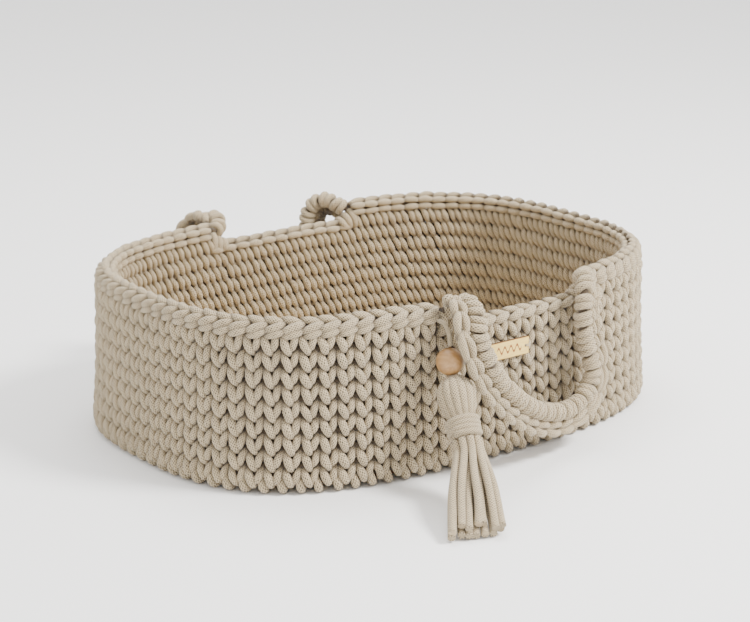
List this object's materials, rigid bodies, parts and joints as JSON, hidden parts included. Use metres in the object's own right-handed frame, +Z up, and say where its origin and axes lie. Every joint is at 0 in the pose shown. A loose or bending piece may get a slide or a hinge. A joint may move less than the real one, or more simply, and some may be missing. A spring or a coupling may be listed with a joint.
{
  "type": "crocheted baby basket",
  "caption": "Oval low-sided basket crocheted from thick cotton cord round a wooden base, with two rope handles, a blank name plate and a beaded tassel.",
  "frame": {"origin": "on the floor, under the middle of the oval base", "axes": "+X along the basket's length, +Y towards the rear handle, +Z up"},
  "size_m": [0.667, 0.7113, 0.2017],
  "materials": {
    "cotton_cord": "matte knitted cotton cord",
    "plywood": "laser-cut plywood with a browned edge",
    "birch_plate": "bare birch plywood with a browned edge",
    "bead_wood": "smooth sanded wood, lightly waxed",
    "thread": "twisted cotton thread"
  },
  "bodies": {
    "basket": {"base_board": "plywood", "base_round": "cotton_cord", "base_edge_round": "cotton_cord", "wall_round_01": "cotton_cord", "wall_round_02": "cotton_cord", "wall_round_03": "cotton_cord", "wall_round_04": "cotton_cord", "wall_round_05": "cotton_cord", "wall_round_06": "cotton_cord", "wall_round_07": "cotton_cord", "wall_round_08": "cotton_cord", "top_round_left": "cotton_cord", "top_round_right": "cotton_cord", "rim_chain_left": "cotton_cord", "rim_chain_right": "cotton_cord", "gap_chain_front": "cotton_cord", "gap_chain_rear": "cotton_cord", "name_plate": "birch_plate", "plate_tie_left": "thread", "plate_tie_right": "thread"},
    "handle_front": {"handle_front_core": "cotton_cord", "handle_front_strap": "cotton_cord", "handle_front_edge_chain": "cotton_cord"},
    "handle_rear": {"handle_rear_core": "cotton_cord", "handle_rear_strap": "cotton_cord", "handle_rear_edge_chain": "cotton_cord"},
    "tassel_hanger": {"tassel_hanger": "cotton_cord"},
    "tassel": {"tassel_bead": "bead_wood", "tassel_head": "cotton_cord", "tassel_neck_wrap": "cotton_cord", "tassel_strand_01": "cotton_cord", "tassel_strand_02": "cotton_cord", "tassel_strand_03": "cotton_cord", "tassel_strand_04": "cotton_cord", "tassel_strand_05": "cotton_cord", "tassel_strand_06": "cotton_cord", "tassel_strand_07": "cotton_cord", "tassel_strand_08": "cotton_cord", "tassel_strand_09": "cotton_cord", "tassel_strand_10": "cotton_cord", "tassel_strand_11": "cotton_cord", "tassel_strand_12": "cotton_cord", "tassel_strand_13": "cotton_cord", "tassel_strand_14": "cotton_cord"}
  },
  "joints": [
    {"name": "handle_front_swing", "type": "hinge", "parent": "basket", "child": "handle_front", "pos_m": [0.024, -0.224, 0.181], "axis": [-1, 0, 0], "range_deg": [0, 165]},
    {"name": "handle_rear_swing", "type": "hinge", "parent": "basket", "child": "handle_rear", "pos_m": [0.024, 0.224, 0.181], "axis": [1, 0, 0], "range_deg": [0, 165]},
    {"name": "tassel_swing", "type": "hinge", "parent": "basket", "child": "tassel_hanger", "pos_m": [-0.097, -0.237, 0.176], "axis": [-1, 0, 0], "range_deg": [-12, 2]},
    {"name": "tassel_sway", "type": "hinge", "parent": "tassel_hanger", "child": "tassel", "pos_m": [-0.099, -0.258, 0.152], "axis": [0, 1, 0], "range_deg": [-3, 45]}
  ]
}
